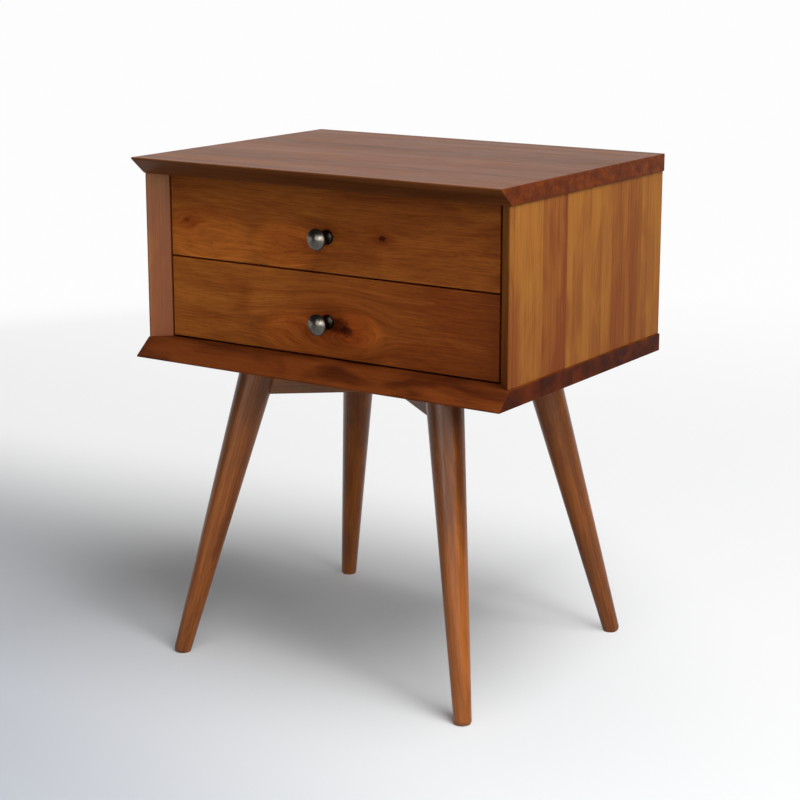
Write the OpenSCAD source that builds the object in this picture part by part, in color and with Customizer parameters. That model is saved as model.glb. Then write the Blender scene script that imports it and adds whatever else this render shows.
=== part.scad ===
// Two-drawer nightstand: a low case with bevelled front edges, on four splayed round legs.
// X runs to the right, Y to the back and Z up. The origin is on the floor, under the
// middle of the case. The drawers pull out along -Y on ball-bearing slides.

/* [Case] */
// Width of the top and bottom panels
case_w = 508; // [440:1:620]
// Depth of the top and bottom panels
case_d = 382; // [370:1:440]
// Height of the nightstand
stand_h = 610; // [540:1:680]
// Height of the case without its legs
case_h = 241; // [235:1:300]
// Thickness of the solid case panels
panel_t = 21; // [18:0.5:24]
// How far each side panel stands in from the ends of the top
side_inset = 2; // [0:0.5:4]
// Depth of the bevel under the top's front edge and over the bottom's
bevel_d = 22.5; // [15:0.5:30]
// Flat left at the tip of each bevel
bevel_land = 2; // [1:0.5:4]
// Thickness of the back panel
back_t = 6; // [4:1:8]
// How far the back panel laps onto the case panels
back_lap = 9; // [6:1:12]

/* [Legs] */
// Diameter of a leg at the case
leg_top_d = 45; // [38:1:50]
// Diameter of a leg at the floor
leg_foot_d = 20.5; // [18:0.5:28]
// Rounding at the edge of a foot
foot_round = 5.5; // [3:0.5:7]
// Middle of a leg's top, from the middle of the case, along the width
leg_top_x = 130; // [110:1:170]
// Middle of a leg's top, from the middle of the case, along the depth
leg_top_y = 105; // [90:1:110]
// Splay of the legs as seen from the front and from the side
leg_splay = 11.4; // [6:0.1:12]
// Height of the two crossed rails
rail_h = 45; // [40:1:60]
// Thickness of the two crossed rails
rail_t = 18; // [16:1:22]

/* [Drawers] */
// Gap round each drawer front
front_gap = 2.2; // [1.5:0.1:3]
// Thickness of a drawer front
front_t = 19; // [16:1:22]
// Height of a drawer box
box_h = 76; // [70:1:84]
// Thickness of a drawer box's sides, front and back
box_t = 12; // [11:0.5:14]
// Thickness of a drawer box's bottom
bottom_t = 6; // [4:1:7]
// Height of a drawer box's lower edge above that of its front
box_rise = 3; // [2:0.5:6]
// Number of dovetails at each corner of a drawer box
tail_count = 3; // [2:1:4]
// Slope of the dovetails' sides
tail_slope = 9; // [7:1:12]

/* [Slides] */
// Length and full travel of a slide
slide_l = 300; // [250:10:300]
// Height of a slide
slide_h = 45; // [45:1:46]
// Width of a slide, between the case and the drawer box
slide_t = 12.7; // [12.7:0.1:13]
// Diameter of the balls between the cabinet and middle members
outer_ball_d = 3.6; // [3.4:0.1:3.7]
// Diameter of the balls between the middle and drawer members
inner_ball_d = 3; // [2.8:0.1:3.1]
// Balls in each row
ball_count = 6; // [4:1:8]

/* [Knobs] */
// Diameter of a knob's head
knob_d = 25; // [22:1:32]
// How far a knob stands out from its drawer front
knob_out = 25; // [23:1:30]
// Rise of the crown on a knob's head
knob_crown = 2.8; // [1.5:0.1:4]
// Diameter of the flange at a knob's foot
knob_flange_d = 17.5; // [16:0.5:20]
// Diameter of a knob's waist
knob_waist_d = 10; // [9:0.5:11]

/* [Hidden] */
$fn = 48;
eps = 0.01;
dark_brown = "#5b3a2a";
red_brown = "#7a4a2c";
honey_brown = "#8f5a34";
pale_wood = "#c9a878";
ply_brown = "#a98258";
zinc = "#b9bcc0";
pewter = "#8b8680";

corners = [["front_left", -1, -1], ["front_right", 1, -1], ["rear_left", -1, 1], ["rear_right", 1, 1]];
drawers = [["upper", 1], ["lower", 0]];
sides = [["left", -1], ["right", 1]];

// Case
case_z = stand_h - case_h;
floor_z = case_z + panel_t;
ceiling_z = stand_h - panel_t;
inner_w = case_w - 2 * side_inset - 2 * panel_t;
inner_h = ceiling_z - floor_z;
tip_y = -case_d / 2;
rear_y = case_d / 2;
side_y = tip_y + bevel_d;
face_y = side_y + panel_t - bevel_land;
side_mid_x = (inner_w + panel_t) / 2;

// Dowels and screws
case_dowel_d = 8;
case_dowel_y = [-120, 5, 130];
dowel_in_panel = 12;
dowel_in_side = 24;
leg_dowel_d = 10;
leg_dowel_out = 4.2;
leg_dowel_up = 14;
leg_dowel_down = 22;
rail_dowel_d = 8;
rail_dowel_in_leg = 16;
rail_dowel_in_rail = 20;
rail_dowel_levels = [rail_h / 4, rail_h * 3 / 4];
rail_screw_r = 95;
rail_screw_sink = 22;
rail_screw_up = 15;
back_screw_x = [-(inner_w + back_lap) / 2, -inner_w / 6, inner_w / 6, (inner_w + back_lap) / 2];
back_screw_z = [floor_z - back_lap / 2, ceiling_z + back_lap / 2];

// Legs: how far the foot moves out for each step down, and how far the leg leans in all
leg_tilt = atan(sqrt(2) * tan(leg_splay));
leg_l = case_z / cos(leg_tilt);
leg_taper = atan((leg_top_d - leg_foot_d) / 2 / leg_l);
rail_angle = atan2(leg_top_y, leg_top_x);
leg_top_r = norm([leg_top_x, leg_top_y]);
function leg_r(down) = leg_top_d / 2 - down / cos(leg_tilt) * tan(leg_taper);
function leg_mid_r(down) = leg_top_r + down * tan(leg_tilt) * cos(45 - rail_angle);
function rail_end_r(down) = leg_mid_r(down) - leg_r(down) / cos(leg_tilt);

// Drawers
front_w = inner_w - 2 * front_gap;
front_h = (inner_h - 3 * front_gap) / 2;
box_w = inner_w - 2 * slide_t;
box_y = face_y + front_t;
box_l = slide_l;
box_rear_y = box_y + box_l;
groove_z = 10;
groove_in = box_t / 2;
tail_share = 0.62;
tail_flare = box_t * tan(tail_slope);
screw_r = 1.75;
front_screw_x = box_w / 3;
front_screw_z = box_h / 5;
front_screw_in = 13;
knob_screw_r = 2;
knob_screw_in = 10;
function front_z(level) = floor_z + front_gap + level * (front_h + front_gap);
function box_z(level) = front_z(level) + box_rise;
function mid_z(level) = box_z(level) + box_h / 2;

// Slides: the wall behind a race, the depth of a race and the play round a ball
race_wall = 1;
race_depth = 1;
ball_play = 0.3;
steel_t = 1.2;
race_u = 8;
middle_u = 3.8;
middle_t = 1;
outer_race_r = outer_ball_d / 2 + ball_play;
inner_race_r = inner_ball_d / 2 + ball_play;
outer_race_v = slide_h / 2 - race_wall - outer_race_r;
inner_race_v = outer_race_v - outer_race_r - race_wall - inner_race_r;
slide_y = box_y + 3;
member_l = slide_l - 2;
cage_l = slide_l * 0.32;
ball_step = cage_l / ball_count;
slide_screw_y = [35, 130, 265];
access_d = 9;

// ---- Helpers ----

// Extrudes a Y-Z outline along X, centred
module along_x(length) {
    translate([-length / 2, 0, 0]) rotate([90, 0, 90]) linear_extrude(length) children();
}

// Extrudes an X-Z outline from y = 0 towards the back
module along_y(length) {
    translate([0, length, 0]) rotate([90, 0, 0]) linear_extrude(length) children();
}

// Block from its low corner to its high corner
module block(low, high) {
    translate(low) cube(high - low);
}

// Turns a piece that points along +Z to point along -Y, +Y, -X or +X
module towards(side_x, side_y) {
    rotate([side_y == 0 ? 0 : -90 * side_y, side_x == 0 ? 0 : 90 * side_x, 0]) children();
}

// Dowel with chamfered ends, standing on z = 0
module dowel(d, length) {
    chamfer = 1;
    rotate_extrude() polygon([[0, 0], [d / 2 - chamfer, 0], [d / 2, chamfer],
                              [d / 2, length - chamfer], [d / 2 - chamfer, length], [0, length]]);
}

// Screw that points along +Z: its pan head is below z = 0 and its shank above
module pan_screw(r, length, head_r, head_h) {
    difference() {
        rotate_extrude() polygon([[0, -head_h], [head_r * 0.7, -head_h], [head_r, -head_h * 0.45],
                                  [head_r, 0], [r, 0], [r, length - 2 * r], [0, length]]);
        cross_recess(head_r, -head_h, head_h * 0.5);
    }
}

// Screw that points along +Z with a countersunk head, flat at z = 0
module flat_screw(r, length, head_r) {
    difference() {
        rotate_extrude() polygon([[0, 0], [head_r, 0], [r, head_r - r], [r, length - 2 * r],
                                  [0, length]]);
        cross_recess(head_r, 0, head_r * 0.4);
    }
}

// Driver recess cut up from z = from
module cross_recess(head_r, from, depth) {
    slot = head_r * 0.28;
    for (turn = [0, 90]) rotate([0, 0, turn])
        translate([-head_r * 0.6, -slot / 2, from - eps]) cube([head_r * 1.2, slot, depth + eps]);
}

// ---- Case ----

// Outline of the top panel from the side, and of the bottom panel turned over
module panel_outline() {
    polygon([[tip_y, 0], [tip_y, -bevel_land], [side_y, -panel_t], [rear_y, -panel_t], [rear_y, 0]]);
}

// The rabbet that the back panel sits in
module back_blank() {
    block([-inner_w / 2 - back_lap, rear_y - back_t, floor_z - back_lap],
          [inner_w / 2 + back_lap, rear_y, ceiling_z + back_lap]);
}

module case_dowel_set(low_end, side) {
    for (y = case_dowel_y)
        translate([side * side_mid_x, y, low_end ? floor_z - dowel_in_panel : ceiling_z - dowel_in_side])
            dowel(case_dowel_d, dowel_in_panel + dowel_in_side);
}

module back_screw_set(level) {
    for (x = back_screw_x) translate([x, rear_y, back_screw_z[level]])
        towards(0, -1) flat_screw(screw_r, 16, 3.5);
}

module top_panel() {
    color(dark_brown) difference() {
        translate([0, 0, stand_h]) along_x(case_w) panel_outline();
        back_blank();
        for (side = [-1, 1]) case_dowel_set(false, side);
        back_screw_set(1);
    }
}

module bottom_panel() {
    color(red_brown) difference() {
        translate([0, 0, case_z]) along_x(case_w) mirror([0, 1]) panel_outline();
        back_blank();
        for (side = [-1, 1]) case_dowel_set(true, side);
        back_screw_set(0);
        leg_dowels();
        for (rail = [-1, 1], end = [-1, 1]) rail_screw(rail, end);
    }
}

module side_panel(side) {
    outer_x = side * (inner_w / 2 + panel_t);
    inner_x = side * inner_w / 2;
    color(honey_brown) difference() {
        translate([0, 0, floor_z]) linear_extrude(inner_h)
            polygon([[outer_x, side_y], [outer_x - side * bevel_land, side_y], [inner_x, face_y],
                     [inner_x, rear_y], [outer_x, rear_y]]);
        back_blank();
        case_dowel_set(true, side);
        case_dowel_set(false, side);
        for (level = [0, 1]) case_slide_screws(side, level);
    }
}

module back_panel() {
    color(ply_brown) difference() {
        back_blank();
        for (level = [0, 1]) back_screw_set(level);
    }
}

module case_dowels() {
    color(pale_wood) for (side = [-1, 1], low_end = [true, false]) case_dowel_set(low_end, side);
}

module back_panel_screws() {
    color(zinc) for (level = [0, 1]) back_screw_set(level);
}

// ---- Legs and rails ----

// Half outline of a leg, from its axis out, with the foot at the top
module leg_outline() {
    over = leg_top_d / 2 * tan(leg_tilt) + 1;
    end_z = leg_l + 1.5;
    round_z = end_z - foot_round;
    round_r = leg_top_d / 2 - round_z * tan(leg_taper) - foot_round / cos(leg_taper);
    polygon([[0, -over], [leg_top_d / 2 + over * tan(leg_taper), -over],
             [round_r + foot_round * cos(leg_taper), round_z + foot_round * sin(leg_taper)],
             [round_r, round_z], [round_r, end_z], [0, end_z]]);
    intersection() {
        translate([round_r, round_z]) circle(foot_round);
        translate([round_r, round_z]) square(foot_round);
    }
}

// Leg before it is cut level at the case and at the floor
module leg_blank(corner) {
    translate([corner[1] * leg_top_x, corner[2] * leg_top_y, case_z])
        rotate([0, -leg_tilt, atan2(corner[2], corner[1])])
            mirror([0, 0, 1]) rotate_extrude($fn = 96) leg_outline();
}

module leg(corner) {
    reach = leg_top_d;
    x = corner[1] * leg_top_x;
    y = corner[2] * leg_top_y;
    foot_x = corner[1] * (leg_top_x + case_z * tan(leg_splay));
    foot_y = corner[2] * (leg_top_y + case_z * tan(leg_splay));
    color(red_brown) difference() {
        leg_blank(corner);
        block([x - reach, y - reach, case_z], [x + reach, y + reach, case_z + reach]);
        block([foot_x - reach, foot_y - reach, -reach], [foot_x + reach, foot_y + reach, 0]);
        leg_dowel(corner);
        rail_dowel_pair(corner);
    }
}

module leg_dowel(corner) {
    translate([corner[1] * (leg_top_x + leg_dowel_out), corner[2] * (leg_top_y + leg_dowel_out),
               case_z - leg_dowel_down])
        dowel(leg_dowel_d, leg_dowel_up + leg_dowel_down);
}

module leg_dowels() {
    color(pale_wood) for (c = corners) leg_dowel(c);
}

module rail_dowel_pair(corner) {
    for (down = rail_dowel_levels)
        rotate([0, 0, atan2(corner[2] * leg_top_y, corner[1] * leg_top_x)])
            translate([rail_end_r(down) - rail_dowel_in_rail, 0, case_z - down])
                towards(1, 0) dowel(rail_dowel_d, rail_dowel_in_rail + rail_dowel_in_leg);
}

module rail_dowels() {
    color(pale_wood) for (c = corners) rail_dowel_pair(c);
}

// Rail from corner to corner; way is 1 or -1 for the two diagonals
module rail_blank(way) {
    half_l = leg_top_r - 2;
    rotate([0, 0, way * rail_angle])
        block([-half_l, -rail_t / 2, case_z - rail_h], [half_l, rail_t / 2, case_z]);
}

// Screw up through a rail into the bottom panel, in its counterbore
module rail_screw(way, end) {
    rotate([0, 0, way * rail_angle])
        translate([end * rail_screw_r, 0, case_z - rail_h + rail_screw_sink])
            pan_screw(2.1, rail_h - rail_screw_sink + rail_screw_up, 4.25, 3);
}

module rail_screw_hole(way, end) {
    rotate([0, 0, way * rail_angle]) translate([end * rail_screw_r, 0, case_z - rail_h]) {
        translate([0, 0, -1]) cylinder(d = 10, h = rail_screw_sink + 1);
        cylinder(d = 4.8, h = rail_h + 1);
    }
}

// Rail with its ends coped to the legs and half its height notched out for the other rail
module rail(way, notch_low) {
    mid = case_z - rail_h / 2;
    color(red_brown) difference() {
        rail_blank(way);
        intersection() {
            rail_blank(-way);
            block([-rail_h, -rail_h, notch_low ? mid - rail_h : mid],
                  [rail_h, rail_h, notch_low ? mid : mid + rail_h]);
        }
        for (c = corners) if (c[1] * c[2] == way) {
            leg_blank(c);
            rail_dowel_pair(c);
        }
        for (end = [-1, 1]) rail_screw_hole(way, end);
    }
}

module rail_screws() {
    color(zinc) for (rail = [-1, 1], end = [-1, 1]) rail_screw(rail, end);
}

// ---- Slides ----
// Outlines have u across the slide, from the case to the drawer box, and v up from its middle.

// Channel with its back at u = back_u and its flanges' tips at u = tip_u
module channel(back_u, tip_u, back_t, flange_t, high_v) {
    face_u = back_u + sign(tip_u - back_u) * back_t;
    low_v = high_v - flange_t;
    polygon([[back_u, -high_v], [tip_u, -high_v], [tip_u, -low_v], [face_u, -low_v],
             [face_u, low_v], [tip_u, low_v], [tip_u, high_v], [back_u, high_v]]);
}

// The two rows of balls, as the circles that their races are cut with
module races(v, r) {
    for (row = [-1, 1]) translate([race_u, row * v]) circle(r);
}

module cabinet_outline() {
    difference() {
        channel(0, race_u + 3, steel_t, race_wall + race_depth, slide_h / 2);
        races(outer_race_v, outer_race_r);
    }
}

module middle_outline() {
    high_v = outer_race_v - outer_race_r + race_depth;
    difference() {
        channel(middle_u, race_u + 2.6, middle_t, race_wall + 2 * race_depth, high_v);
        races(outer_race_v, outer_race_r);
        races(inner_race_v, inner_race_r);
    }
}

module drawer_outline() {
    high_v = inner_race_v - inner_race_r + race_depth;
    difference() {
        channel(slide_t, race_u - 2.2, steel_t, race_wall + race_depth, high_v);
        races(inner_race_v, inner_race_r);
    }
}

// Puts a slide that is drawn for the left side of the case in its place
module at_slide(side, level) {
    mirror([side > 0 ? 1 : 0, 0, 0]) translate([-inner_w / 2, slide_y, mid_z(level)]) children();
}

module cabinet_member(side, level) {
    color(zinc) difference() {
        at_slide(side, level) {
            along_y(slide_l) cabinet_outline();
            stop_v = inner_race_v - inner_race_r;
            block([0, slide_l - steel_t, -stop_v], [race_u + 3, slide_l, stop_v]);
        }
        case_slide_screws(side, level);
    }
}

module middle_member(side, level) {
    color(zinc) at_slide(side, level) difference() {
        along_y(member_l) middle_outline();
        for (y = slide_screw_y) translate([middle_u - 1, y, 0])
            towards(1, 0) cylinder(d = access_d, h = middle_t + 2);
    }
}

module drawer_member(side, level) {
    color(zinc) difference() {
        at_slide(side, level) along_y(member_l) drawer_outline();
        box_slide_screws(side, level);
    }
}

// Two retainer strips, one over the other, each with its row of balls
module ball_cage(side, level, ball_d, race_v, strip_w, strip_t) {
    hole_r = ball_d / 2 + 0.1;
    color(pewter) at_slide(side, level) for (row = [-1, 1])
        translate([race_u, slide_l / 2 - cage_l / 2, row * race_v]) {
            difference() {
                block([-strip_w / 2, 0, -strip_t / 2], [strip_w / 2, cage_l, strip_t / 2]);
                for (i = [0:ball_count - 1]) translate([0, (i + 0.5) * ball_step, -strip_t])
                    cylinder(r = hole_r, h = 2 * strip_t);
            }
            for (i = [0:ball_count - 1]) translate([0, (i + 0.5) * ball_step, 0])
                sphere(d = ball_d, $fn = 24);
        }
}

module outer_ball_cage(side, level) {
    ball_cage(side, level, outer_ball_d, outer_race_v, 5, 0.8);
}

module inner_ball_cage(side, level) {
    ball_cage(side, level, inner_ball_d, inner_race_v, 4.2, 0.6);
}

module case_slide_screws(side, level) {
    at_slide(side, level) for (y = slide_screw_y) translate([steel_t, y, 0])
        towards(-1, 0) pan_screw(screw_r, 15, 3.5, 2.2);
}

module box_slide_screws(side, level) {
    at_slide(side, level) for (y = slide_screw_y) translate([slide_t - steel_t, y, 0])
        towards(1, 0) pan_screw(screw_r, 11, 3.5, 2.2);
}

module cabinet_slide_screws() {
    color(zinc) for (side = [-1, 1], level = [0, 1]) case_slide_screws(side, level);
}

// ---- Drawers ----

module drawer_front(level) {
    color(honey_brown) difference() {
        block([-front_w / 2, face_y, front_z(level)], [front_w / 2, box_y, front_z(level) + front_h]);
        front_screw_set(level);
        knob_hole(level);
    }
}

// Tails of one box side between two heights; y is where they start and way where they point
module tails(side, level, low, high, y, way) {
    pitch = (high - low) / tail_count;
    wide = pitch * tail_share / 2;
    translate([side * (box_w - box_t) / 2, 0, box_z(level) + low]) along_x(box_t)
        for (i = [0:tail_count - 1]) translate([0, (i + 0.5) * pitch])
            polygon([[y, tail_flare - wide], [y, wide - tail_flare],
                     [y + way * box_t, wide], [y + way * box_t, -wide]]);
}

module front_tails(side, level) {
    tails(side, level, 0, box_h, box_y + box_t, -1);
}

module rear_tails(side, level) {
    tails(side, level, groove_z + bottom_t, box_h, box_rear_y - box_t, 1);
}

module box_bottom_blank(level) {
    z = box_z(level) + groove_z;
    tongue_x = box_w / 2 - box_t;
    block([-tongue_x - groove_in, box_y + box_t, z], [tongue_x + groove_in, box_rear_y, z + bottom_t]);
    block([-tongue_x, box_y + box_t - groove_in, z], [tongue_x, box_y + box_t + 1, z + bottom_t]);
}

module box_side(side, level) {
    z = box_z(level);
    inner_x = box_w / 2 - box_t;
    outer_x = box_w / 2;
    low_x = side > 0 ? inner_x : -outer_x;
    high_x = side > 0 ? outer_x : -inner_x;
    color(pale_wood) difference() {
        union() {
            block([low_x, box_y + box_t, z], [high_x, box_rear_y - box_t, z + box_h]);
            block([low_x, box_rear_y - box_t - 1, z], [high_x, box_rear_y, z + groove_z + bottom_t]);
            front_tails(side, level);
            rear_tails(side, level);
        }
        box_bottom_blank(level);
        box_slide_screws(side, level);
    }
}

module box_front(level) {
    color(pale_wood) difference() {
        block([-box_w / 2, box_y, box_z(level)], [box_w / 2, box_y + box_t, box_z(level) + box_h]);
        for (side = [-1, 1]) front_tails(side, level);
        box_bottom_blank(level);
        front_screw_set(level);
        knob_hole(level);
    }
}

module box_back(level) {
    color(pale_wood) difference() {
        block([-box_w / 2, box_rear_y - box_t, box_z(level) + groove_z + bottom_t],
              [box_w / 2, box_rear_y, box_z(level) + box_h]);
        for (side = [-1, 1]) rear_tails(side, level);
    }
}

module box_bottom(level) {
    color(ply_brown) box_bottom_blank(level);
}

// Screws through the box front into the drawer front
module front_screw_set(level) {
    for (x = [-front_screw_x, front_screw_x], z = [-1, 1])
        translate([x, box_y + box_t, mid_z(level) + z * front_screw_z])
            towards(0, -1) pan_screw(screw_r, box_t + front_screw_in, 3.8, 2.4);
}

module knob_hole(level) {
    translate([0, face_y - 1, mid_z(level)])
        towards(0, 1) cylinder(r = knob_screw_r + 0.5, h = front_t + box_t + 2);
}

module knob_screw(level) {
    color(zinc) translate([0, box_y + box_t, mid_z(level)])
        towards(0, -1) pan_screw(knob_screw_r, box_t + front_t + knob_screw_in, 4.5, 2.6);
}

// Half outline of a knob, from its axis out: flange, waist, flared head and crowned face
module knob_outline() {
    head_r = knob_d / 2;
    crown_r = head_r - 0.8;
    rim_t = 2;
    rim_z = knob_out - knob_crown - rim_t;
    flange_z = 2.6;
    flare_z = rim_z - 3.6;
    waist_cut = (flare_z - flange_z) * 0.65;
    neck_r = knob_flange_d / 2 - 0.5;
    round_r = (crown_r * crown_r + knob_crown * knob_crown) / (2 * knob_crown);
    polygon([[0, 0], [knob_flange_d / 2, 0], [knob_flange_d / 2, 1.8], [neck_r, flange_z],
             [0, flange_z]]);
    difference() {
        translate([0, flange_z - eps]) square([neck_r, flare_z - flange_z + 2 * eps]);
        translate([knob_waist_d / 2 + waist_cut, (flange_z + flare_z) / 2]) circle(waist_cut);
    }
    polygon([[0, flare_z], [neck_r, flare_z], [head_r - 0.6, rim_z - 0.4], [head_r, rim_z + 0.4],
             [head_r, rim_z + rim_t - 0.6], [crown_r, rim_z + rim_t], [0, rim_z + rim_t]]);
    intersection() {
        translate([0, knob_out - round_r]) circle(round_r, $fn = 180);
        translate([0, rim_z + rim_t - eps]) square([crown_r, knob_crown + 1]);
    }
}

module knob(level) {
    color(pewter) translate([0, face_y, mid_z(level)]) towards(0, -1) difference() {
        rotate_extrude($fn = 72) knob_outline();
        translate([0, 0, -1]) cylinder(r = knob_screw_r, h = knob_screw_in + 1);
    }
}

module front_screws(level) {
    color(zinc) front_screw_set(level);
}

module slide_screws(level) {
    color(zinc) for (side = [-1, 1]) box_slide_screws(side, level);
}

// ---- Nodes ----

top_panel();
bottom_panel();
side_panel(-1);  // left_side_panel
side_panel(1);  // right_side_panel
back_panel();
case_dowels();
back_panel_screws();
rail(1, true);  // rail_upper_lap
rail(-1, false);  // rail_lower_lap
leg_dowels();
rail_dowels();
rail_screws();
cabinet_slide_screws();
for (c = corners) leg(c);
for (d = drawers, s = sides) {
    slide = str(d[0], "_", s[0], "_");
    cabinet_member(s[1], d[1]);
    middle_member(s[1], d[1]);
    drawer_member(s[1], d[1]);
    outer_ball_cage(s[1], d[1]);
    inner_ball_cage(s[1], d[1]);
    box_side(s[1], d[1]);
}
for (d = drawers) {
    drawer_front(d[1]);
    box_front(d[1]);
    box_back(d[1]);
    box_bottom(d[1]);
    knob(d[1]);
    knob_screw(d[1]);
    front_screws(d[1]);
    slide_screws(d[1]);
}
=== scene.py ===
# %% [markdown]
# # Dressing a two-drawer nightstand
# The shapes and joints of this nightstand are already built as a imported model. This lesson
# loads that model, remakes the knobs and the wooden pieces that show, with softened edges, and
# gives every piece a finish: stained wood, plywood, plated steel and pewter. Everything is in
# metres. X runs to the right, Y to the back and Z up, and the floor is at zero.

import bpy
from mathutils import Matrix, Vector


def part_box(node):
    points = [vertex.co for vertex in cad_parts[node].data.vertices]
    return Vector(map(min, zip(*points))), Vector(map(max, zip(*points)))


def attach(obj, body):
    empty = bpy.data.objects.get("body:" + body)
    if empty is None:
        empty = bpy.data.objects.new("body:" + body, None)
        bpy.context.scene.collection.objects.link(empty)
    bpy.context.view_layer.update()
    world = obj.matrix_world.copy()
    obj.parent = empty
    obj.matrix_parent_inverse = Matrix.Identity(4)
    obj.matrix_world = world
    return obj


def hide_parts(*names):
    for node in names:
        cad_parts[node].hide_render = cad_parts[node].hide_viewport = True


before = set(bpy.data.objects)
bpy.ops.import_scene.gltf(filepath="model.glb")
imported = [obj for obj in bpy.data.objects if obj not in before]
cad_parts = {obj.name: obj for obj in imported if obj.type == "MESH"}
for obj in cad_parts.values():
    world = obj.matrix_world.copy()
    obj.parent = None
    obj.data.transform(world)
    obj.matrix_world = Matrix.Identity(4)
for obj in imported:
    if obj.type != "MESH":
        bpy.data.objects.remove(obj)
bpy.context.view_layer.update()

# %% [markdown]
# Blender's own modules come next. bpy runs the same operators as the menus do, bmesh lets a
# script look at the corners, edges and faces of the mesh that is being edited, and mathutils
# has vectors and matrices.

# %% Modules
from math import atan, atan2, cos, radians, sin, sqrt, tan

import bmesh
import bpy
from mathutils import Matrix, Vector

print("Blender", bpy.app.version_string)

# %% [markdown]
# ## Measures
# Each wooden piece has to take exactly the room of the solid that it stands for, so its
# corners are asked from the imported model. Only the sizes inside a piece, such as the small
# flat at the tip of a bevel, are written here.

# %% Measures of the case
BEVEL_DEPTH = 0.0225
BEVEL_LAND = 0.002
BACK_THICKNESS = 0.006
BACK_LAP = 0.009

top_low, top_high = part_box("top_panel")
bottom_low, bottom_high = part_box("bottom_panel")
front_low, front_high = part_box("lower_drawer_front")
case_z = bottom_low.z
inner_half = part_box("right_side_panel")[0].x
floor_z, ceiling_z = bottom_high.z, top_low.z
print("case", round(top_high.x * 2000), "x", round((top_high.y - top_low.y) * 1000), "mm")

# %% [markdown]
# ## Small helpers for modelling
# A board starts as a cube primitive, stretched to the board's size. The transform is applied
# at once, so that the object stays at the origin and its place is in its mesh. Operators work
# on whatever is selected, so everything is deselected before a new piece is added.

# %% Start a board
def put_tools_down():
    """Leaves edit mode and deselects everything."""
    if bpy.context.object and bpy.context.object.mode != "OBJECT":
        bpy.ops.object.mode_set(mode="OBJECT")
    bpy.ops.object.select_all(action="DESELECT")


def take_up(piece):
    """Selects this piece and no other."""
    put_tools_down()
    bpy.context.view_layer.objects.active = piece
    piece.select_set(True)


def settle():
    """Moves the active object's place, turn and size into its mesh."""
    bpy.ops.object.transform_apply(location=True, rotation=True, scale=True)


def sawn_board(name, low, high):
    """A board as it comes off the saw, from its low corner to its high corner."""
    put_tools_down()
    middle = [(a + b) / 2 for a, b in zip(low, high)]
    size = [b - a for a, b in zip(low, high)]
    bpy.ops.mesh.primitive_cube_add(size=1, location=middle, scale=size)
    bpy.context.object.name = name
    settle()
    return bpy.context.object


print("boards start as a stretched cube")

# %% [markdown]
# In edit mode a script can't click on a corner, so it selects by place instead: each corner
# is tested, and those that pass are selected. A saw line is a bisect, which cuts new edges
# right round the board without removing anything.

# %% Select by place, and mark a saw line
def pick(piece, test, kind="VERT"):
    """Selects the corners, edges or faces of a piece whose middle passes the test."""
    bpy.context.view_layer.objects.active = piece
    if piece.mode != "EDIT":
        bpy.ops.object.mode_set(mode="EDIT")
    bpy.ops.mesh.select_mode(type=kind)
    bpy.ops.mesh.select_all(action="DESELECT")
    shape = bmesh.from_edit_mesh(piece.data)
    if kind == "VERT":
        chosen = [v for v in shape.verts if test(v.co)]
    else:
        parts = shape.edges if kind == "EDGE" else shape.faces
        chosen = [p for p in parts if test(sum((v.co for v in p.verts), Vector()) / len(p.verts))]
    for part in chosen:
        part.select_set(True)
    shape.select_flush_mode()
    bmesh.update_edit_mesh(piece.data)
    return len(chosen)


def near(a, b):
    """True if two lengths agree to a tenth of a millimetre."""
    return abs(a - b) < 0.0001


def saw_line(piece, place, across):
    """Cuts new edges round the piece in a plane through a place."""
    pick(piece, lambda corner: True)
    bpy.ops.mesh.bisect(plane_co=place, plane_no=across)


print("corners are picked to 0.1 mm")

# %% [markdown]
# A rabbet or a hole is cut with a Boolean modifier, whose cutter is a second object that is
# thrown away afterwards. No real board has a knife-sharp edge, so each one ends with a fine
# Bevel. The Weighted Normal modifier after it keeps the wide faces shading flat, and lets only
# the narrow strips of the bevel turn, which catches a thin line of light.

# %% Cut away and ease the edges
SHARP = radians(35)


def apply(piece, modifier):
    """Makes a modifier's result the piece's own mesh."""
    take_up(piece)
    bpy.ops.object.modifier_apply(modifier=modifier.name)


def cut_away(piece, cutter):
    """Takes the cutter's shape out of the piece."""
    saw = piece.modifiers.new("cut away", "BOOLEAN")
    saw.operation, saw.solver, saw.object = "DIFFERENCE", "EXACT", cutter
    apply(piece, saw)
    bpy.data.objects.remove(cutter)


def ease_edges(piece, radius, steps=3):
    """Rounds every sharp edge, as sandpaper does."""
    sanding = piece.modifiers.new("eased edges", "BEVEL")
    sanding.width, sanding.segments = radius, steps
    sanding.limit_method, sanding.angle_limit = "ANGLE", SHARP
    apply(piece, sanding)
    bpy.ops.object.shade_smooth_by_angle(angle=SHARP)
    apply(piece, piece.modifiers.new("flat faces stay flat", "WEIGHTED_NORMAL"))
    print(piece.name, "has", len(piece.data.polygons), "faces")


def stands_for(piece, body, *nodes):
    """The piece moves with a body, and shows instead of these solids."""
    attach(piece, body)
    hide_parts(*nodes)
    return piece


print("saw, plane and sandpaper ready")
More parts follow.
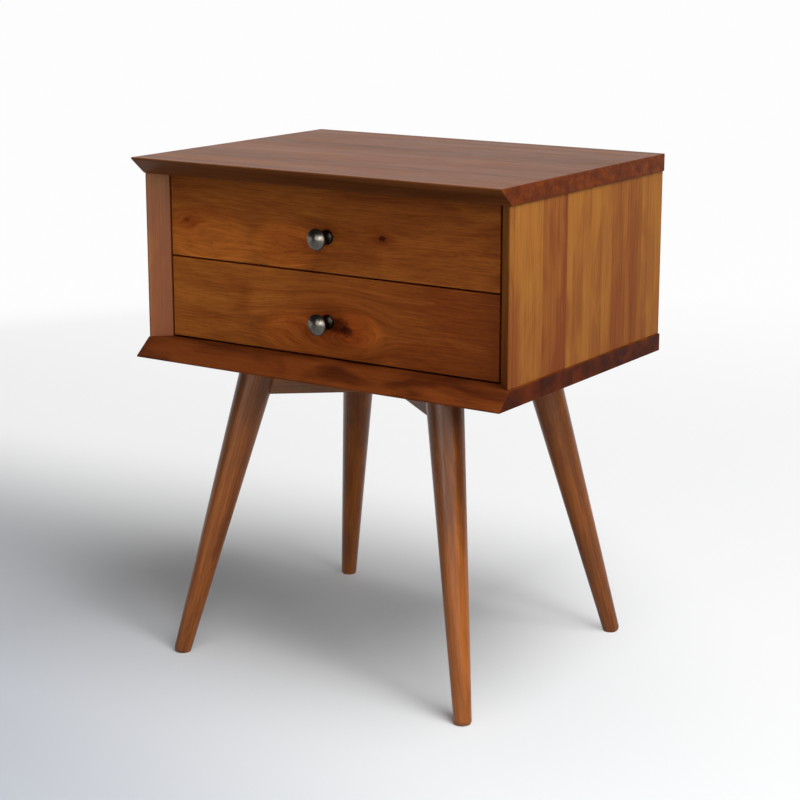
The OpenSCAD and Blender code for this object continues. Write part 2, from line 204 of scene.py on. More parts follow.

# %% [markdown]
# ## The top and the bottom
# Both are solid boards with a long bevel along the front edge, under the top and over the
# bottom, so the two bevels frame the drawers. The bevel could be a Bevel modifier, but it has
# to stop at a 2 mm flat and its two legs differ, so it is made as a joiner plans it: a line is
# marked 2 mm from the outer face, and then the inner front corners slide back. On the bottom
# board the corner between the slope and the end grain is rubbed, so those two edges also lose
# a narrow strip, which the stain finish then shows pale, partly as wear and partly as a painted
# highlight.
#
# The sides have such a slope too, so one function makes any board of the case. It is told which
# axis runs through the board's thickness, and which way along that axis is the outside.

# %% Bevelled boards
def back_seat():
    """Cutter for the rabbet that the back panel sits in; it stands out past the back."""
    past_back = 0.01
    low = (-inner_half - BACK_LAP, top_high.y - BACK_THICKNESS, floor_z - BACK_LAP)
    high = (inner_half + BACK_LAP, top_high.y + past_back, ceiling_z + BACK_LAP)
    return sawn_board("rabbet_cutter", low, high)


def case_board(name, solid, axis, outward, slope, radius, worn_and_highlit=0.0):
    """A case board whose front edge slopes back from its outer face to its inner one.

    worn takes that much off the two edges where the slope meets the ends; the stain finish
    shows them pale, as wear and as a painted highlight."""
    low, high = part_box(solid)
    inner, outer = (low[axis], high[axis])[::outward]
    through = Vector([float(i == axis) for i in range(3)])
    board = sawn_board(name, low, high)
    saw_line(board, through * (outer - outward * BEVEL_LAND), through)
    found = pick(board, lambda v: near(v.y, low.y) and near(v[axis], inner))
    bpy.ops.transform.translate(value=(0, slope, 0))
    if worn_and_highlit:
        pick(board, lambda m: near(abs(m.x), high.x) and near(m.y, low.y + slope / 2), "EDGE")
        bpy.ops.mesh.bevel(offset=worn_and_highlit, segments=1, affect="EDGES")
    print(name, "slid", found, "corners back by", round(slope * 1000, 1), "mm")
    cut_away(board, back_seat())
    ease_edges(board, radius)
    return stands_for(board, "cabinet", solid)


top = case_board("top_board", "top_panel", 2, 1, BEVEL_DEPTH, 0.0007)
bottom = case_board("bottom_board", "bottom_panel", 2, -1, BEVEL_DEPTH, 0.0007, worn_and_highlit=0.0007)

# %% [markdown]
# ## The sides
# A side is an upright board whose front edge slopes inwards, so that with the top and bottom
# it makes a shallow picture frame. Its slope is at 45 degrees, so it goes back as far as the
# board is thick, less the 2 mm flat.

# %% Side boards
side_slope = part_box("right_side_panel")[1].x - inner_half - BEVEL_LAND
left, right = [case_board(name + "_board", name + "_panel", 0, outward, side_slope, 0.0006)
               for name, outward in (("left_side", -1), ("right_side", 1))]

# %% [markdown]
# ## The drawer fronts
# Each front is one flat board with softly rounded edges and a hole for the knob's screw. They
# are alike, so the lower one is modelled and the upper one is a copy with its own mesh, lifted
# into place. The hole is drilled with a cylinder as the Boolean cutter.

# %% Drawer fronts
SCREW_HOLE_RADIUS = 0.0025


def copy_of(piece, name, move):
    """A copy with its own mesh, moved in the mesh."""
    twin = piece.copy()
    twin.data = piece.data.copy()
    twin.name = name
    bpy.context.collection.objects.link(twin)
    twin.data.transform(Matrix.Translation(move))
    return twin


lower_knob_low, lower_knob_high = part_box("lower_knob")
knob_z = (lower_knob_low.z + lower_knob_high.z) / 2
lift = Vector((0, 0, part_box("upper_knob")[0].z - lower_knob_low.z))

lower_front = sawn_board("lower_front_board", front_low, front_high)
put_tools_down()
bpy.ops.mesh.primitive_cylinder_add(vertices=32, radius=SCREW_HOLE_RADIUS, depth=0.06,
                                    location=(0, front_low.y, knob_z),
                                    rotation=(radians(90), 0, 0))
settle()
cut_away(lower_front, bpy.context.object)
ease_edges(lower_front, radius=0.0008)
upper_front = copy_of(lower_front, "upper_front_board", lift)
stands_for(lower_front, "lower_drawer", "lower_drawer_front")
stands_for(upper_front, "upper_drawer", "upper_drawer_front")

# %% [markdown]
# ## The legs
# A leg is turned on a lathe as a long taper with a rounded foot, and only then leaned over
# and cut level at both ends. The same order works here: a cone primitive is the blank, a
# little too long at both ends. The rim of its foot is bevelled, and each leg is a copy of the
# blank that is leaned, put under its corner and bisected level with the case and the floor.
#
# The grain has to lean with the leg. Before the copy is moved, its corners hold the leg's own
# upright coordinates, so the inverse of the lean gives them back afterwards. They are kept in
# an attribute, which the wood's pattern reads instead of the object's coordinates.

# %% Turned blank
LEG_TOP_RADIUS = 0.0225
LEG_FOOT_RADIUS = 0.01025
FOOT_ROUND = 0.005335
SPARE_TOP, SPARE_FOOT = 0.001, 0.0015
LEG_TOP_X, LEG_TOP_Y = 0.130, 0.105
LEG_TILT = atan(sqrt(2) * tan(radians(11.4)))

leg_length = case_z / cos(LEG_TILT)
taper = (LEG_TOP_RADIUS - LEG_FOOT_RADIUS) / leg_length
blank_up = LEG_TOP_RADIUS * tan(LEG_TILT) + SPARE_TOP
blank_down = leg_length + SPARE_FOOT
put_tools_down()
bpy.ops.mesh.primitive_cone_add(vertices=72, radius1=LEG_TOP_RADIUS - blank_down * taper,
                                radius2=LEG_TOP_RADIUS + blank_up * taper,
                                depth=blank_up + blank_down,
                                location=(0, 0, (blank_up - blank_down) / 2))
leg_blank = bpy.context.object
settle()
rim = pick(leg_blank, lambda m: near(m.z, -blank_down) and m.xy.length > 0.005, "EDGE")
bpy.ops.mesh.bevel(offset=FOOT_ROUND, segments=7, affect="EDGES")
print("rounded", rim, "edges of the foot; the leg is", round(leg_length * 1000, 1), "mm long")

# %% [markdown]
# Bisect can also throw away what lies on one side of its plane and fill the cut. The plane's
# normal points to the outer side, so the same call cuts the top with an upward normal and the
# foot with a downward one. Each leg leans towards its own corner, so its turn in plan is the
# direction of that corner.

# %% Lean the legs and cut them level
GRAIN_STEP = 0.9


def remember_grain(piece, place, seed):
    """Stores each corner's place on the piece itself, shifted so that no two pieces match."""
    own = piece.data.attributes.new("grain_place", "FLOAT_VECTOR", "POINT")
    back = place.inverted()
    shift = Vector((0.11, 0.07, GRAIN_STEP)) * seed
    for corner, kept in zip(piece.data.vertices, own.data):
        kept.vector = back @ corner.co + shift


def cut_level(piece, z, keep_below):
    """Cuts the piece level and closes the cut."""
    pick(piece, lambda corner: True)
    up = 1 if keep_below else -1
    bpy.ops.mesh.bisect(plane_co=(0, 0, z), plane_no=(0, 0, up), use_fill=True, clear_outer=True)


CORNERS = {"front_left": (-1, -1), "front_right": (1, -1),
           "rear_left": (-1, 1), "rear_right": (1, 1)}
legs = []
put_tools_down()
for seed, (corner, (x, y)) in enumerate(CORNERS.items()):
    leg = copy_of(leg_blank, "turned_leg_" + corner, (0, 0, 0))
    place = (Matrix.Translation((x * LEG_TOP_X, y * LEG_TOP_Y, case_z))
             @ Matrix.Rotation(atan2(y, x), 4, "Z") @ Matrix.Rotation(-LEG_TILT, 4, "Y"))
    leg.data.transform(place)
    cut_level(leg, case_z, True)
    cut_level(leg, 0, False)
    take_up(leg)
    remember_grain(leg, place, seed)
    bpy.ops.object.shade_smooth_by_angle(angle=radians(30))
    legs.append(stands_for(leg, "cabinet", "leg_" + corner))
bpy.data.objects.remove(leg_blank)
print("legs:", [leg.name for leg in legs])

# %% [markdown]
# ## The knobs
# A knob is also turned. Its outline runs from the flange through a thin waist to a flared head
# with a low crown. In Blender a lathe is a circle that is extruded and resized again and
# again: each step of the outline is the next radius and the next height. The outline's arcs
# are worked out first, and then one loop turns it into a mesh.

# %% The knob's outline
KNOB_RADIUS = (lower_knob_high.x - lower_knob_low.x) / 2
KNOB_OUT = lower_knob_high.y - lower_knob_low.y
FLANGE_RADIUS, FLANGE_TOP, WAIST_RADIUS = 0.00875, 0.0026, 0.005
FLARE, RIM, CROWN = 0.0036, 0.002, 0.0028
crown_edge = KNOB_RADIUS - 0.0008
rim_z = KNOB_OUT - CROWN - RIM
flare_z = rim_z - FLARE
waist_cut = (flare_z - FLANGE_TOP) * 0.65
waist_mid = (flare_z + FLANGE_TOP) / 2
round_radius = (crown_edge ** 2 + CROWN ** 2) / (2 * CROWN)

outline = [(FLANGE_RADIUS, 0.0), (FLANGE_RADIUS, 0.0015), (FLANGE_RADIUS - 0.0002, 0.0019),
           (FLANGE_RADIUS - 0.0005, FLANGE_TOP)]
for step in range(1, 12):
    z = FLANGE_TOP + (flare_z - FLANGE_TOP) * step / 12
    outline.append((WAIST_RADIUS + waist_cut - sqrt(waist_cut ** 2 - (z - waist_mid) ** 2), z))
outline += [(FLANGE_RADIUS - 0.0005, flare_z), (KNOB_RADIUS - 0.0006, rim_z - 0.0004),
            (KNOB_RADIUS - 0.0001, rim_z + 0.0001), (KNOB_RADIUS, rim_z + 0.0005),
            (KNOB_RADIUS, rim_z + 0.0013), (KNOB_RADIUS - 0.0002, rim_z + 0.0017),
            (crown_edge, rim_z + RIM)]
for step in range(1, 10):
    r = crown_edge * (1 - step / 10)
    outline.append((r, KNOB_OUT - round_radius + sqrt(round_radius ** 2 - r ** 2)))
print("the outline has", len(outline), "steps;",
      "the head is", round(KNOB_RADIUS * 2000, 1), "mm wide")

# %% [markdown]
# The last ring is small, so it is merged to one point at the middle of the crown. The first
# ring was added as a filled circle, which is the face that sits against the drawer front.

# %% Turn the knob
put_tools_down()
bpy.ops.mesh.primitive_circle_add(vertices=72, radius=outline[0][0], fill_type="NGON")
knob_blank = bpy.context.object
bpy.ops.object.mode_set(mode="EDIT")
bpy.ops.mesh.select_all(action="SELECT")
for (r0, z0), (r1, z1) in zip(outline, outline[1:]):
    bpy.ops.mesh.extrude_region_move(TRANSFORM_OT_translate={"value": (0, 0, z1 - z0)})
    bpy.ops.transform.resize(value=(r1 / r0, r1 / r0, 1), center_override=(0, 0, z1))
bpy.ops.transform.translate(value=(0, 0, KNOB_OUT - outline[-1][1]))
bpy.ops.mesh.merge(type="CENTER")
bpy.ops.mesh.select_all(action="SELECT")
bpy.ops.mesh.normals_make_consistent(inside=False)
put_tools_down()
print("the knob has", len(knob_blank.data.polygons), "faces")

# %% [markdown]
# The finished blank is copied for each drawer, tipped to point forwards and put in place. Its
# own upright coordinates are kept, as a leg's are, because the marks of the lathe run round the
# knob's own axis.

# %% Place the knobs
knobs = []
for level, z in (("lower", knob_z), ("upper", knob_z + lift.z)):
    knob = copy_of(knob_blank, level + "_pewter_knob", (0, 0, 0))
    place = Matrix.Translation((0, front_low.y, z)) @ Matrix.Rotation(radians(90), 4, "X")
    knob.data.transform(place)
    remember_grain(knob, place, 0)
    take_up(knob)
    bpy.ops.object.shade_smooth_by_angle(angle=radians(28))
    knobs.append(stands_for(knob, level + "_drawer", level + "_knob"))
bpy.data.objects.remove(knob_blank)
print("knobs:", [knob.name for knob in knobs])

# %% [markdown]
# ## Shader nodes in short
# A finish is a tree of nodes. Written out in full, every node takes four or five lines, so a
# few helpers shorten that. put adds a node and fills its sockets in order, and fill does that
# by name. A socket takes either a plain value or another node's output, and wire sets or links
# it accordingly. An output knows its own tree, so feed only has to be told what its new node is
# fed with. calc adds a Math node; plus and times are the two that come up most. arrow and span
# add a Vector Math node, and give its vector or its number.

# %% Helpers for nodes
def wire(socket, value):
    """Feeds a socket with a value or with another node's output."""
    if isinstance(value, bpy.types.NodeSocket):
        socket.id_data.links.new(value, socket)
    else:
        socket.default_value = value


def fill(sockets, values):
    """Feeds several sockets, each by its name."""
    for name, value in values.items():
        wire(sockets[name], value)


def put(tree, kind, *values, **settings):
    """Adds a node, gives it its settings, and fills its sockets in order."""
    made = tree.nodes.new("ShaderNode" + kind)
    for name, value in settings.items():
        setattr(made, name, value)
    for socket, value in zip(made.inputs, values):
        if value is not None:
            wire(socket, value)
    return made


def feed(kind, *values, **settings):
    """Adds a node to the tree that the values come from, and returns its outputs."""
    tree = next(v.id_data for v in values if isinstance(v, bpy.types.NodeSocket))
    return put(tree, kind, *values, **settings).outputs


def calc(operation, *values):
    """A Math node's number."""
    return feed("Math", *values, operation=operation)[0]


def plus(first, second):
    return calc("ADD", first, second)


def times(first, second):
    return calc("MULTIPLY", first, second)


def arrow(operation, *values):
    """A Vector Math node's vector."""
    return feed("VectorMath", *values, operation=operation)[0]


def span(operation, *values):
    """A Vector Math node's number, such as a length."""
    return feed("VectorMath", *values, operation=operation)["Value"]


def join(*values):
    """A vector from its X, Y and Z."""
    return feed("CombineXYZ", *values)[0]


print("node helpers ready")

# %% [markdown]
# Colours need a Mix node, whose colour sockets have the numbers 6 and 7. Multiplying a colour
# by another darkens and tints it, as a stain does. A Map Range node with a smooth step turns a
# wide, soft value such as noise into one that says where something is and where it is not.

# %% Helpers for colours and shares
def blend(share, first, second, way="MIX"):
    """Mixes two colours."""
    unused = [None] * 5
    return feed("Mix", share, *unused, first, second, data_type="RGBA", blend_type=way)[2]


def tint(share, color, by):
    """Multiplies a colour by another, as far as share says."""
    return blend(share, color, by, "MULTIPLY")


def stretch(value, low, high, to_low=0.0, to_high=1.0):
    """Spreads the part of a value between low and high over a new range, with soft ends."""
    return feed("MapRange", value, low, high, to_low, to_high, interpolation_type="SMOOTHSTEP")[0]


print("colour helpers ready")

# %% [markdown]
# A node group is a small tree that is built once and used by many materials, each with its
# own values. Its sockets are made with interface.new_socket, and a usual value tells whether an
# input is a number, a vector or a colour. All the wood here shares the groups that follow, so a
# change to one group changes the grain of every piece.

# %% Helpers for node groups
def new_group(name, inputs, outputs):
    """An empty node group, returned with its inner ends.

    inputs maps names to usual values, and outputs maps names to kinds."""
    group = bpy.data.node_groups.new(name, "ShaderNodeTree")
    for socket, value in inputs.items():
        kind = "Float" if isinstance(value, float) else {3: "Vector", 4: "Color"}[len(value)]
        made = group.interface.new_socket(socket, in_out="INPUT", socket_type="NodeSocket" + kind)
        made.default_value = value
    for socket, kind in outputs.items():
        group.interface.new_socket(socket, in_out="OUTPUT", socket_type="NodeSocket" + kind)
    given = group.nodes.new("NodeGroupInput").outputs
    result = group.nodes.new("NodeGroupOutput").inputs
    return group, given, result


def count_nodes(group):
    print("group", group.name, "has", len(group.nodes), "nodes")


def use(tree, group, values):
    """Places a group in a tree; values maps its input names to values or outputs."""
    made = put(tree, "Group", node_tree=group)
    fill(made.inputs, values)
    return made.outputs


def texture(kind, place, scale):
    """A texture node's outputs; a higher scale makes a finer pattern."""
    made = put(place.id_data, "Tex" + kind, place)
    made.inputs["Scale"].default_value = scale
    return made.outputs


def cloudy(place, sizes, detail=2.0, rough=0.5, swirl=0.0):
    """Noise whose blobs are sizes long in X, Y and Z, in metres; returns 0 to 1."""
    made = put(place.id_data, "TexNoise", arrow("DIVIDE", place, sizes))
    fill(made.inputs, {"Scale": 1, "Detail": detail, "Roughness": rough, "Distortion": swirl})
    return made.outputs[0]


print("group helpers ready")

# %% [markdown]
# ## Growth rings
# A tree grows a ring a year, and a board is a flat slice through those rings. If the rings
# are worked out in the round, as distance from the heart of the log, then one pattern gives
# long lines on the face of a board and arcs on its end, and they meet at the edge, as they do
# in real wood. The heart is tilted a little and the rings wander, so that the lines close into
# long tongues here and there. Grain always runs along X in these groups.

# %% Group: growth rings
rings_group, given, result = new_group(
    "growth rings",
    {"Place": (0, 0, 0), "Heart": (0, 0.03, -0.09), "Ring width": 0.004, "Wander": 0.012},
    {"Rings": "Float"})
noise = texture("Noise", arrow("DIVIDE", given["Place"], (0.35, 0.07, 0.07)), 1)
push = arrow("SUBTRACT", noise["Color"], (0.5, 0.5, 0.5))
push = arrow("SCALE", push)
wire(push.node.inputs["Scale"], given["Wander"])
log = arrow("SUBTRACT", arrow("ADD", given["Place"], push), given["Heart"])
log = feed("Mapping", log, None, (0, radians(3.5), radians(2.5)), (0, 1, 1))[0]
year = calc("DIVIDE", span("LENGTH", log), given["Ring width"])
uneven = texture("Noise", join(times(year, 0.4)), 1)
season = calc("FRACT", plus(year, times(uneven[0], 2.0)))
late = times(stretch(season, 0.25, 0.9), stretch(season, 1.0, 0.9))
wire(result["Rings"], late)
count_nodes(rings_group)

# %% [markdown]
# ## Fibres, pores and streaks
# Between the rings, wood is a bundle of long fibres. Close up they show as fine lines, with
# short dark dashes where pores are cut open; from further away they gather into soft streaks.
# Each is the same kind of noise, stretched along the grain by a different amount.

# %% Group: fibres
fibres_group, given, result = new_group(
    "wood fibres", {"Place": (0, 0, 0), "Fibre length": 1.0},
    {"Streaks": "Float", "Fibres": "Float", "Pores": "Float"})
place = arrow("DIVIDE", given["Place"], join(given["Fibre length"], 1.0, 1.0))
streaks = cloudy(place, (0.3, 0.014, 0.014), 5, 0.72, 0.3)
fibres = cloudy(place, (0.03, 0.0013, 0.0013), 3, 0.6)
pores = cloudy(place, (0.009, 0.0007, 0.0007), 1, 0.5)
fill(result, {"Streaks": stretch(streaks, 0.3, 0.7), "Fibres": stretch(fibres, 0.3, 0.7),
              "Pores": stretch(pores, 0.62, 0.74)})
count_nodes(fibres_group)

# %% [markdown]
# ## Worn edges and painted highlight
# Hands and dusting cloths rub the stain thin on edges, and a rounded edge catches a line of
# light. The stain is lightened along edges for both, so that is partly wear and partly a painted
# highlight. The Bevel node shows where an edge is: it gives the normal that the surface would
# have if its edges were rounder, and where that differs from the true normal, an edge is near.
# The same rounder normal makes the sharp edges of the small parts catch light as rounded ones.

# %% Group: worn edges and painted highlight
edges_group, given, result = new_group(
    "worn edges", {"Radius": 0.0012}, {"Wear": "Float", "Normal": "Vector"})
rounder = feed("Bevel", given["Radius"], samples=6)[0]
true = put(edges_group, "NewGeometry").outputs["True Normal"]
alike = span("DOT_PRODUCT", rounder, true)
fill(result, {"Wear": stretch(alike, 0.995, 0.8), "Normal": rounder})
count_nodes(edges_group)

# %% [markdown]
# ## Stained wood
# This group puts the parts together as a finisher does. The bare wood is a mix of a light and
# a dark colour, steered by rings, streaks and cloudy patches where stain soaked in unevenly.
# Fibres and pores take more stain, so they darken it. End grain drinks the most and comes out
# deep, and edges are lighter, partly as wear and partly as a painted highlight. The group also
# gives a roughness, because bare streaks are duller than lacquered ones, and a height for a
# slight relief.

# %% Group: stained wood
stained_group, given, result = new_group(
    "stained wood",
    {"Place": (0, 0, 0), "Facing": (0, 1, 0), "Light": (0.3, 0.1, 0.03, 1),
     "Dark": (0.2, 0.05, 0.01, 1), "End tint": (0.5, 0.4, 0.35, 1), "Tone": 0.0, "Rings": 0.2,
     "Heart": (0, 0.03, -0.09), "Ring width": 0.004, "Streaks": 0.5, "Clouds": 0.3, "Fibres": 0.2,
     "Fibre length": 1.0, "Pores": 0.3, "Gloss": 0.4, "Edge wear": 0.25},
    {"Color": "Color", "Roughness": "Float", "Height": "Float"})
tree = stained_group
rings = use(tree, rings_group, {"Place": given["Place"], "Heart": given["Heart"],
                                "Ring width": given["Ring width"]})["Rings"]
grain = use(tree, fibres_group, {"Place": given["Place"], "Fibre length": given["Fibre length"]})
clouds = stretch(cloudy(given["Place"], (0.12, 0.04, 0.04), 3, 0.5, 0.8), 0.35, 0.65)
parts = [times(calc("SUBTRACT", part, 0.5), amount) for part, amount in (
    (clouds, given["Clouds"]), (grain["Streaks"], given["Streaks"]))]
tone = plus(plus(given["Tone"], 0.5), plus(*parts))
tone = calc("SUBTRACT", tone, times(rings, given["Rings"]))
color = blend(feed("Clamp", tone)[0], given["Dark"], given["Light"])
lines = times(grain["Fibres"], given["Fibres"])
color = tint(lines, color, (0.35, 0.25, 0.2, 1))
dashes = times(grain["Pores"], given["Pores"])
color = tint(dashes, color, (0.25, 0.18, 0.15, 1))

along = feed("SeparateXYZ", given["Facing"])[0]
end = stretch(calc("ABSOLUTE", along), 0.6, 0.9)
swirl = stretch(cloudy(given["Place"], (0.3, 0.06, 0.024), 3, 0.45, 1.6), 0.3, 0.7)
feather = blend(swirl, (0.8, 0.74, 0.68, 1), (1.15, 1.15, 1.08, 1))
end_color = tint(1.0, tint(1.0, color, feather), given["End tint"])
color = blend(end, color, end_color)
# Edges are lightened almost to white: partly wear, partly a painted highlight where a rounded
# edge would catch light.
wear_and_highlight = use(tree, edges_group, {"Radius": 0.0014})["Wear"]
worn_and_highlit = tint(1.0, color, (2.0, 2.0, 2.1, 1))
color = blend(times(wear_and_highlight, given["Edge wear"]), color, worn_and_highlit)

dull = plus(times(grain["Fibres"], 0.07), times(clouds, 0.05))
relief = plus(times(grain["Fibres"], 0.5), grain["Pores"])
fill(result, {"Color": color, "Roughness": plus(given["Gloss"], dull),
              "Height": times(relief, -1)})
count_nodes(stained_group)

# %% [markdown]
# ## Knots
# A knot is where a branch left the trunk: a dark core, a reddish halo, and grain that swerves
# round it. The group measures the distance to one knot, and gives the core, the halo, and a
# pull that is added to the place before the grain is worked out, so that the lines bow. The
# edge of the core wanders by the same few millimetres on every knot, so a small one is ragged
# and a large one smoother. The halo is a bell curve, and the pull fades out with it.

# %% Group: knot
RAGGED_BY = 0.0106
knot_group, given, result = new_group(
    "knot", {"Place": (0, 0, 0), "Middle": (0, 0, 0), "Size": 0.006},
    {"Core": "Float", "Halo": "Float", "Pull": "Vector"})
away = arrow("SUBTRACT", given["Place"], given["Middle"])
flat = arrow("MULTIPLY", away, (0.6, 0, 1))
reach = span("LENGTH", flat)
ragged = cloudy(away, (0.004, 0.004, 0.0022), 3, 0.7, 0.5)
ragged_reach = calc("MULTIPLY_ADD", calc("SUBTRACT", ragged, 0.5), RAGGED_BY, reach)
core = stretch(calc("DIVIDE", ragged_reach, given["Size"]), 1.0, 0.45)
sizes_away = calc("DIVIDE", reach, given["Size"])
halo = calc("POWER", 2.718, times(times(sizes_away, sizes_away), -0.12))
pull = arrow("MULTIPLY", arrow("MULTIPLY", away, (0, 0, -0.75)), join(halo, halo, halo))
fill(result, {"Core": core, "Halo": halo, "Pull": pull})
count_nodes(knot_group)

# %% [markdown]
# ## Brushed and plated metal
# Zinc plating is a mosaic of faint crystals under fine rolling marks. The group gives a tint
# that wanders round the metal's colour, a roughness, and a height for the marks, which run
# along Y, the way the slides are rolled.

# %% Group: plated steel
steel_group, given, result = new_group(
    "plated steel", {"Place": (0, 0, 0), "Color": (0.6, 0.6, 0.6, 1), "Gloss": 0.3},
    {"Color": "Color", "Roughness": "Float", "Height": "Float"})
crystals = texture("Voronoi", given["Place"], 260)
marks = cloudy(given["Place"], (0.0006, 0.03, 0.0006), 3, 0.6)
smudge = stretch(cloudy(given["Place"], (0.03, 0.05, 0.02), 3, 0.6, 0.4), 0.35, 0.7)
shade = blend(crystals["Color"], (0.82, 0.82, 0.84, 1), (1.1, 1.1, 1.1, 1))
color = tint(1.0, given["Color"], shade)
color = tint(times(smudge, 0.35), color, (0.72, 0.7, 0.66, 1))
dull = plus(times(smudge, 0.12), times(marks, 0.12))
fill(result, {"Color": color, "Roughness": plus(given["Gloss"], dull), "Height": marks})
count_nodes(steel_group)

# %% [markdown]
# ## Finding the grain's direction
# A pattern has to know which way the board runs. For boards that lie square, it is enough to
# swap the object's coordinates, so that the long way of the board becomes X. The rails are
# turned in plan, so a Mapping node turns the pattern back. A turned leg uses the attribute
# that was stored while it was modelled. Colours are easier to judge on the usual scale from 0
# to 255, so a helper turns such a colour into the linear one that shaders work with.

# %% Place, facing and stains
def stain(red, green, blue):
    """A colour on the 0 to 255 scale as a linear colour."""
    linear = [v / 3294.6 if v <= 10 else ((v / 255 + 0.055) / 1.055) ** 2.4
              for v in (red, green, blue)]
    return (*linear, 1)


def swap(vector, order):
    """A vector with its X, Y and Z in another order."""
    apart = feed("SeparateXYZ", vector)
    return join(*[apart[i] for i in order])


def grain_frame(tree, grain, turn=0.0):
    """Place and facing on a piece whose grain runs along X, Y, Z or its own length."""
    space = put(tree, "TexCoord").outputs
    place, facing = space["Object"], space["Normal"]
    if grain == "own":
        place = put(tree, "Attribute", attribute_name="grain_place").outputs["Vector"]
        return swap(place, (2, 1, 0)), (0, 1, 0)
    if turn:
        place = feed("Mapping", place, None, (0, 0, turn))[0]
        facing = feed("Mapping", facing, None, (0, 0, turn), vector_type="NORMAL")[0]
    order = {"X": (0, 1, 2), "Y": (1, 0, 2), "Z": (2, 1, 0)}[grain]
    return swap(place, order), swap(facing, order)


print("a mid brown is", [round(v, 3) for v in stain(137, 77, 36)[:3]])

# %% [markdown]
# ## Glued-up staves
# A wide panel is glued from narrower staves, and each has its own tone and its own log. A
# ColorRamp with constant steps is a neat table of staves: its positions are the glue lines,
# its red holds the tone, and its green a number that shifts the grain so that it doesn't run
# on into the next stave.

# %% Staves as a colour ramp
def staves(across, low, high, table):
    """Tone and shift of the stave at a place; the table has a start, tone and shift for each."""
    share = feed("MapRange", across, low, high)[0]
    ramp = put(share.id_data, "ValToRGB", share)
    ramp.color_ramp.interpolation = "CONSTANT"
    steps = ramp.color_ramp.elements
    while len(steps) < len(table):
        steps.new(0.5)
    for step, (start, tone, shift) in zip(steps, table):
        step.position = max(0.0, (start - low) / (high - low))
        step.color = (tone, shift, 0, 1)
    return feed("SeparateColor", ramp.outputs[0])[:2]


print("each stave is a row of start, tone and shift")

# %% [markdown]
# ## Materials in short
# Every finish starts with a new material and its Principled shader, and most end with a Bump
# node that turns a height into a slight relief. Two helpers do this. The relief of wood and
# plated steel also starts from the rounder normals, so that sharp edges catch light.

# %% Helpers for materials
def new_finish(name):
    """A new material, with its tree and its shader."""
    material = bpy.data.materials.new(name)
    material.use_nodes = True
    return material, material.node_tree, material.node_tree.nodes["Principled BSDF"]


def add_relief(shader, height, depth, strength=1.0, edge=0.0):
    """Raises a height by up to depth; edge is the radius at which sharp edges seem rounded."""
    bump = put(shader.id_data, "Bump")
    fill(bump.inputs, {"Distance": depth, "Strength": strength, "Height": height})
    if edge:
        rounder = use(shader.id_data, edges_group, {"Radius": edge})["Normal"]
        wire(bump.inputs["Normal"], rounder)
    wire(shader.inputs["Normal"], bump.outputs[0])


def coat(piece, finish):
    """Gives a piece its finish."""
    piece.data.materials.clear()
    piece.data.materials.append(finish)


print("finish helpers ready")

# %% [markdown]
# ## The wood finishes
# One function makes every stained wood. It finds the grain, adds the staves, the knots and the
# pale figured patches, runs the stained wood group, and wires it to the shader. The lacquer is
# satin and thin, so its IOR is low and the relief is shallow, and what it reflects face on is
# warm, because the stain is in the lacquer too. A log number shifts the place by LOG_STEP, which
# is far along the grain and a little across it, so that no two boards look cut from one log.

# %% A stained wood
LOG_STEP = (3.0, 0.11, 0.17)


def wood(name, grain, light, dark, turn=0.0, table=None, knots=(), patches=(), log=0.0,
         fall=0.0, shine=1.12, glint=(1.0, 0.8, 0.6, 1), **look):
    """A lacquered wood, mixed from two stains; look holds values for the stained wood group.

    log picks another stretch of grain, and fall darkens the board steadily along its grain;
    the sides and legs use it to paint light and shade."""
    material, tree, shader = new_finish(name)
    place, facing = grain_frame(tree, grain, turn)
    tone = look.pop("Tone", 0.0)
    apart = feed("SeparateXYZ", place)
    if fall:
        tone = calc("MULTIPLY_ADD", apart[0], -fall, tone)
    if table:
        stave_tone, shift = staves(apart[1], table[0][0], table[-1][0], table[:-1])
        tone = plus(calc("SUBTRACT", stave_tone, 0.5), tone)
        place = arrow("ADD", place, join(*[times(shift, step) for step in LOG_STEP]))
    marks = [use(tree, knot_group, {"Place": place, "Middle": middle, "Size": size})
             for middle, size, depth in (*knots, *patches)]
    for mark in marks:
        place = arrow("ADD", place, mark["Pull"])
    place = arrow("ADD", place, [log * step for step in LOG_STEP])
    made = use(tree, stained_group, {"Place": place, "Facing": facing, "Light": stain(*light),
                                     "Dark": stain(*dark), "Tone": tone, **look})
    color = made["Color"]
    for mark, (middle, size, depth) in zip(marks, knots):
        color = tint(times(mark["Halo"], 0.5), color, (0.75, 0.5, 0.4, 1))
        color = tint(times(mark["Core"], depth), color, (0.15, 0.08, 0.06, 1))
    for mark, (middle, size, depth) in zip(marks[len(knots):], patches):
        pale = times(stretch(mark["Halo"], 0.25, 0.6), depth)
        color = tint(pale, color, (1.6, 1.55, 1.4, 1))
    fill(shader.inputs, {"Base Color": color, "Roughness": made["Roughness"], "IOR": shine,
                         "Specular Tint": glint})
    add_relief(shader, made["Height"], depth=0.00012, strength=0.5, edge=0.0006)
    return material


print("finish function ready")

# %% [markdown]
# The top is the calmest board, and a little lighter on the left. The bottom is redder and
# cloudier, and its deep end grain shows at both ends. Both are glued from five boards, whose
# tones differ only slightly. The tables run from the front edge to the back, and their last row
# only says where the panel stops.

